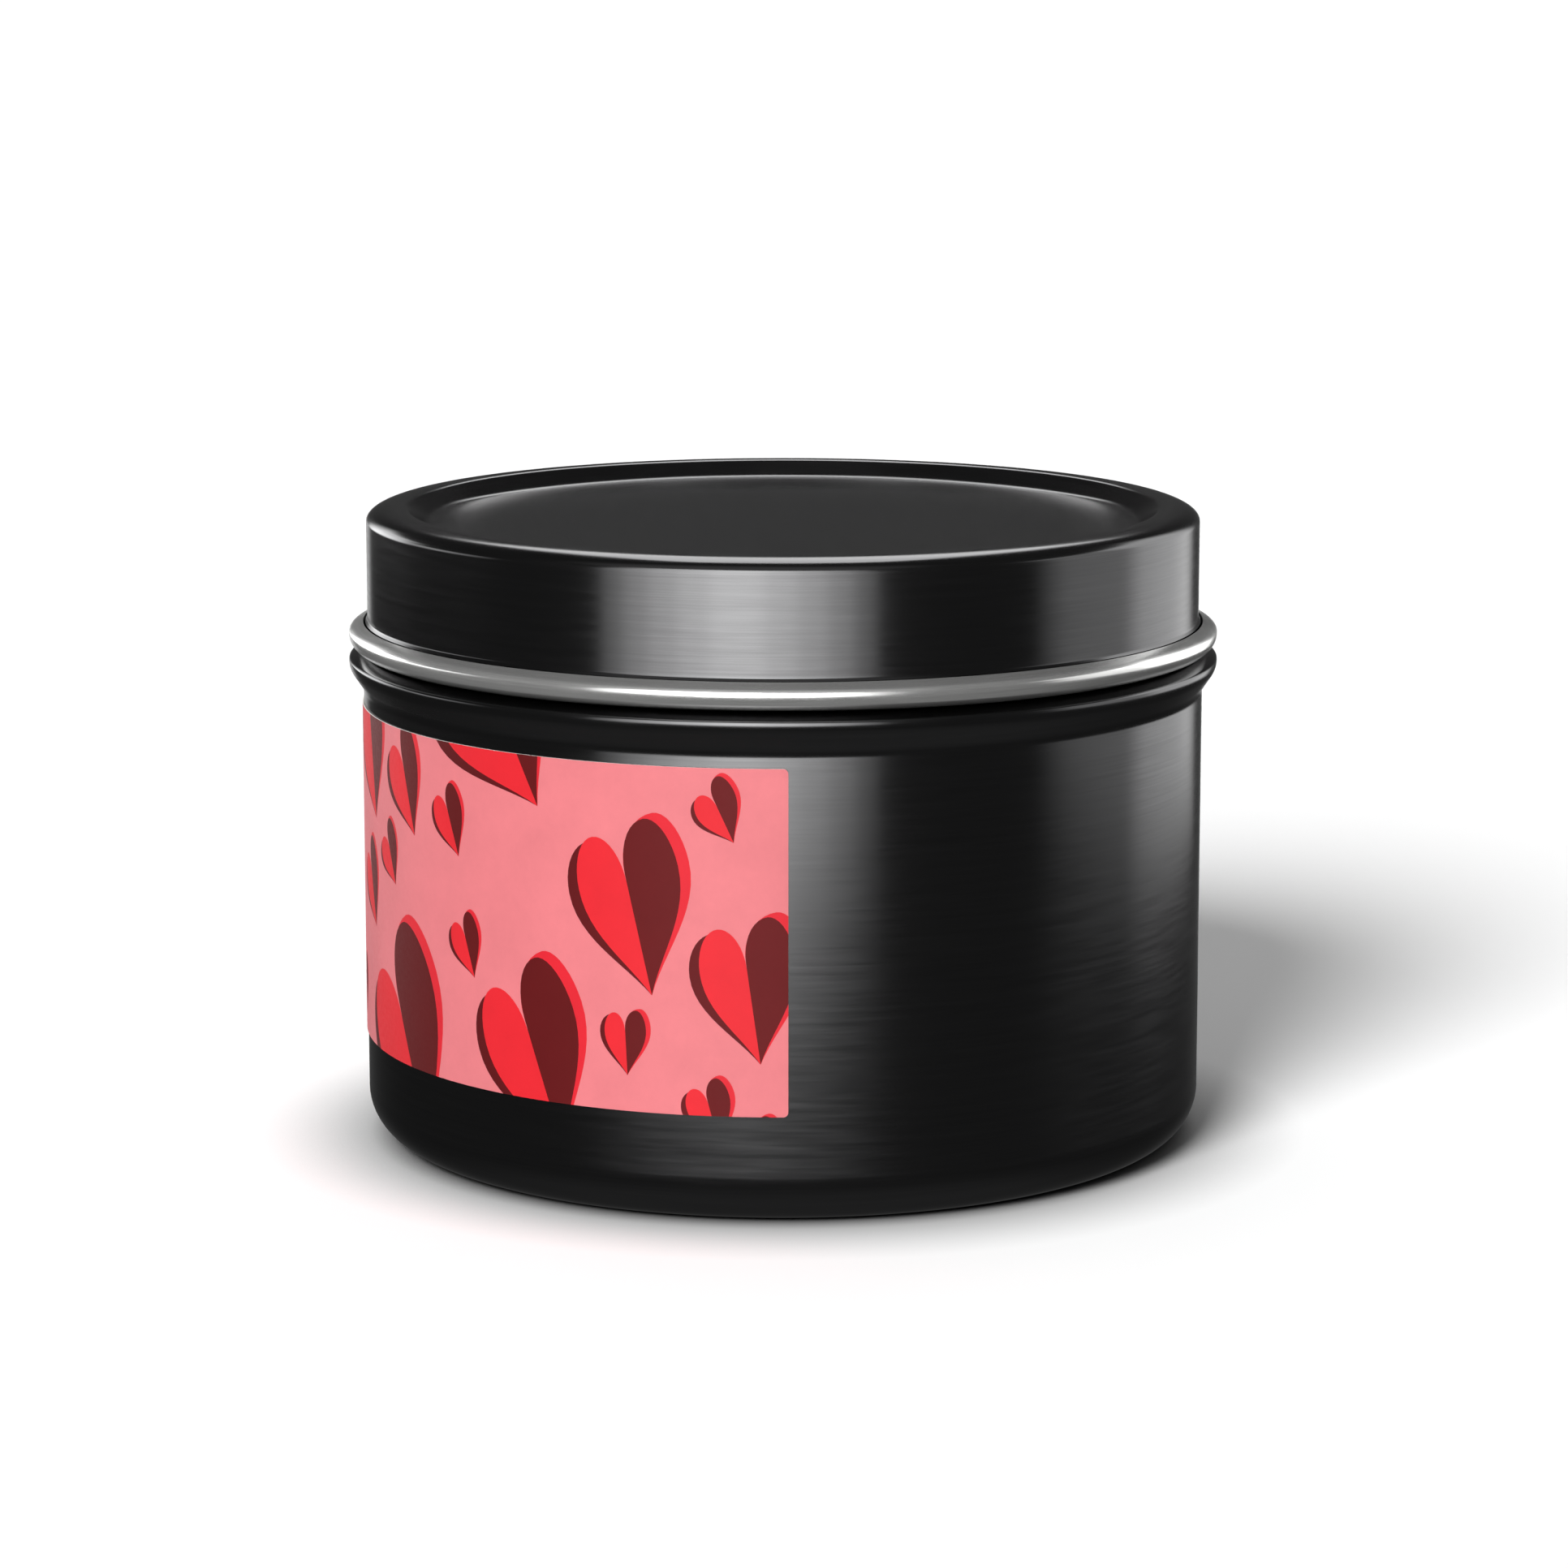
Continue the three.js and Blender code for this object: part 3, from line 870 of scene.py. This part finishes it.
# The camera looks at the right-hand end of the front label, from a little above the tin
CAMERA_AZIMUTH = 73.94
CAMERA_DISTANCE = 484.3
CAMERA_HEIGHT = 120.2
CAMERA_PITCH = 10.259
CAMERA_LENS = 120.6
CAMERA_SENSOR = 36
CAMERA_ASIDE = 0.094

CARD_DISTANCE = 900
CARD_LAYERS = 5
FLOOR_REACH = 30000
FLOOR_WHITE = (0.95, 0.95, 0.95)
# How far from the tin the painted contact shadow darkens the floor's colour, in millimetres.
CONTACT_SHADE_REACH = 11
GLOW_FULL = 0.97


def bearing(azimuth, distance, height):
    """A place seen from the tin's axis."""
    a = math.radians(azimuth)
    return Vector((math.sin(a) * distance, -math.cos(a) * distance, height)) * MM


def camera():
    """The camera at the viewing angle, with no shift and no depth of field."""
    data = bpy.data.cameras.new("camera")
    data.sensor_width = CAMERA_SENSOR
    data.lens = CAMERA_LENS
    data.clip_start = 0.02
    data.clip_end = 100
    obj = bpy.data.objects.new("camera", data)
    bpy.context.scene.collection.objects.link(obj)
    place = bearing(CAMERA_AZIMUTH, CAMERA_DISTANCE, CAMERA_HEIGHT)
    right = bearing(CAMERA_AZIMUTH + 90, CAMERA_ASIDE, 0)
    level = bearing(CAMERA_AZIMUTH, -math.cos(math.radians(CAMERA_PITCH)), 0)
    view = level + Vector((0, 0, -math.sin(math.radians(CAMERA_PITCH)))) * MM
    obj.location = place + right
    obj.rotation_mode = "QUATERNION"
    obj.rotation_quaternion = view.to_track_quat("-Z", "Y")
    bpy.context.scene.camera = obj


def floor():
    """A wide white floor with a painted contact shadow: its colour darkens close to the tin. It is clear
    from below, so that the base can be seen, and mirror-like surfaces see the light cards under its level
    and not the floor."""
    reach = FLOOR_REACH
    corners = [(-reach, -reach, 0), (reach, -reach, 0), (reach, reach, 0), (-reach, reach, 0)]
    obj = new_object("floor", corners, [(0, 1, 2, 3)])
    sweep = Shader("floor", Base_Color=FLOOR_WHITE, Roughness=0.9, Specular_IOR_Level=0.0)
    # Painted contact shadow: ambient occlusion darkens the floor's base colour close to the tin.
    painted_contact_shadow = sweep.node("ShaderNodeAmbientOcclusion", samples=16)
    painted_contact_shadow.inputs["Color"].default_value = (*FLOOR_WHITE, 1)
    painted_contact_shadow.inputs["Distance"].default_value = CONTACT_SHADE_REACH * MM
    sweep.link(painted_contact_shadow.outputs["Color"], sweep.surface.inputs["Base Color"])
    underside = sweep.node("ShaderNodeNewGeometry").outputs["Backfacing"]
    clear = sweep.node("ShaderNodeMath", operation="SUBTRACT")
    clear.inputs[0].default_value = 1.0
    sweep.link(underside, clear.inputs[1])
    sweep.link(clear.outputs["Value"], sweep.surface.inputs["Alpha"])
    obj.data.materials.append(sweep.material)
    obj.visible_glossy = False
    obj.visible_diffuse = False
    obj.visible_shadow = False


def softbox(name, side, width, low, high, radiance, feather):
    """An upright light card that only reflections see. side is in degrees to the right of the
    camera's bearing, low and high are the heights of its edges, and feather is the width and
    height they fade over, in layers."""
    for layer in range(CARD_LAYERS):
        grow = (layer - (CARD_LAYERS - 1) / 2) / CARD_LAYERS
        data = bpy.data.lights.new(name, "AREA")
        data.shape = "RECTANGLE"
        data.size = (width + 2 * grow * feather[0]) * MM
        data.size_y = (high - low + 2 * grow * feather[1]) * MM
        data.energy = radiance / CARD_LAYERS * math.pi * data.size * data.size_y
        obj = bpy.data.objects.new(name, data)
        bpy.context.scene.collection.objects.link(obj)
        obj.location = bearing(CAMERA_AZIMUTH + side, CARD_DISTANCE + layer, (low + high) / 2)
        obj.rotation_mode = "QUATERNION"
        obj.rotation_quaternion = bearing(CAMERA_AZIMUTH + side, -1, 0).to_track_quat("-Z", "Y")
        obj.visible_camera = False
        obj.visible_diffuse = False


def broad_light(name, side, elevation, spread, strength):
    """A wide soft light for matt surfaces, which throws a soft shadow."""
    data = bpy.data.lights.new(name, "SUN")
    data.energy = strength
    data.angle = math.radians(spread)
    obj = bpy.data.objects.new(name, data)
    bpy.context.scene.collection.objects.link(obj)
    rise = math.radians(elevation)
    place = bearing(CAMERA_AZIMUTH + side, math.cos(rise) * 1000, math.sin(rise) * 1000)
    obj.location = place
    obj.rotation_mode = "QUATERNION"
    obj.rotation_quaternion = (-place).to_track_quat("-Z", "Y")
    obj.visible_glossy = False
    obj.visible_camera = False


def glow(world, toward, edge, strength):
    """How bright a soft round glow of the surroundings is. It starts at the angle with edge as cosine."""
    nodes, links = world.node_tree.nodes, world.node_tree.links
    place = nodes.new("ShaderNodeTexCoord")
    dot = nodes.new("ShaderNodeVectorMath")
    dot.operation = "DOT_PRODUCT"
    dot.inputs[1].default_value = Vector(toward).normalized()
    links.new(place.outputs["Generated"], dot.inputs[0])
    ramp = nodes.new("ShaderNodeMapRange")
    ramp.interpolation_type = "SMOOTHSTEP"
    ramp.inputs["From Min"].default_value = edge
    ramp.inputs["From Max"].default_value = GLOW_FULL
    ramp.inputs["To Min"].default_value = 0.0
    ramp.inputs["To Max"].default_value = strength
    links.new(dot.outputs["Value"], ramp.inputs["Value"])
    return ramp.outputs["Result"]


def surroundings(matt, mirror, glows):
    """White for the camera, even light for matt surfaces, and dim with glows for mirror-like ones."""
    world = bpy.data.worlds.new("studio")
    bpy.context.scene.world = world
    world.use_nodes = True
    nodes, links = world.node_tree.nodes, world.node_tree.links
    total = None
    for toward, edge, strength in glows:
        add = nodes.new("ShaderNodeMath")
        links.new(glow(world, toward, edge, strength), add.inputs[0])
        if total is None:
            add.inputs[1].default_value = mirror
        else:
            links.new(total, add.inputs[1])
        total = add.outputs["Value"]
    rays = nodes.new("ShaderNodeLightPath")
    by_gloss = nodes.new("ShaderNodeMix")
    links.new(rays.outputs["Is Glossy Ray"], by_gloss.inputs["Factor"])
    by_gloss.inputs["A"].default_value = matt
    links.new(total, by_gloss.inputs["B"])
    by_camera = nodes.new("ShaderNodeMix")
    links.new(rays.outputs["Is Camera Ray"], by_camera.inputs["Factor"])
    links.new(by_gloss.outputs["Result"], by_camera.inputs["A"])
    by_camera.inputs["B"].default_value = 1.0
    background = nodes["Background"]
    background.inputs["Color"].default_value = (1, 1, 1, 1)
    links.new(by_camera.outputs["Result"], background.inputs["Strength"])


def studio():
    """The floor, the surroundings, two wide lights for matt surfaces and cards for reflections."""
    floor()
    ceiling = bearing(CAMERA_AZIMUTH - 17, 0.4, 0.9)
    table = (0, 0, -1)
    surroundings(0.24, 0.09, [(ceiling, 0.78, 0.34), (table, 0.42, 0.08)])
    broad_light("key", side=-24, elevation=31, spread=24, strength=4.65)
    broad_light("top", side=180, elevation=68, spread=55, strength=0.42)
    softbox("front", side=-12, width=790, low=-137, high=1110, radiance=7.5, feather=(700, 50))
    softbox("right", side=112, width=1320, low=-137, high=700, radiance=1.25, feather=(260, 40))
    softbox("right_back", side=129, width=600, low=-137, high=700, radiance=2.7, feather=(200, 40))
    softbox("back", side=180, width=440, low=480, high=1480, radiance=6.0, feather=(60, 40))
    softbox("back_low", side=-175, width=560, low=-165, high=10, radiance=0.8, feather=(80, 60))
    softbox("left_high", side=-139, width=430, low=-5, high=400, radiance=6.5, feather=(200, 80))
    softbox("left_wide", side=-120, width=900, low=20, high=240, radiance=2.5, feather=(500, 60))
    scene = bpy.context.scene
    scene.view_settings.view_transform = "Standard"
    scene.view_settings.look = "None"


BLACK = black_coat()
PLATE = tinplate()

camera()
tin_body()
lid()
front_label()
wax()
wick()
wick_tab()
disc("foam_sticker", "wick_sticker", STICKER_BEND, foam(), STICKER_HIGH.x, SMALL_SEGMENTS)
disc("base_label_disc", "base_label", BASE_LABEL_BEND, paper("base_paper", (0.86, 0.84, 0.79)),
     BASE_LABEL_HIGH.x, ROUND_SEGMENTS)
studio()
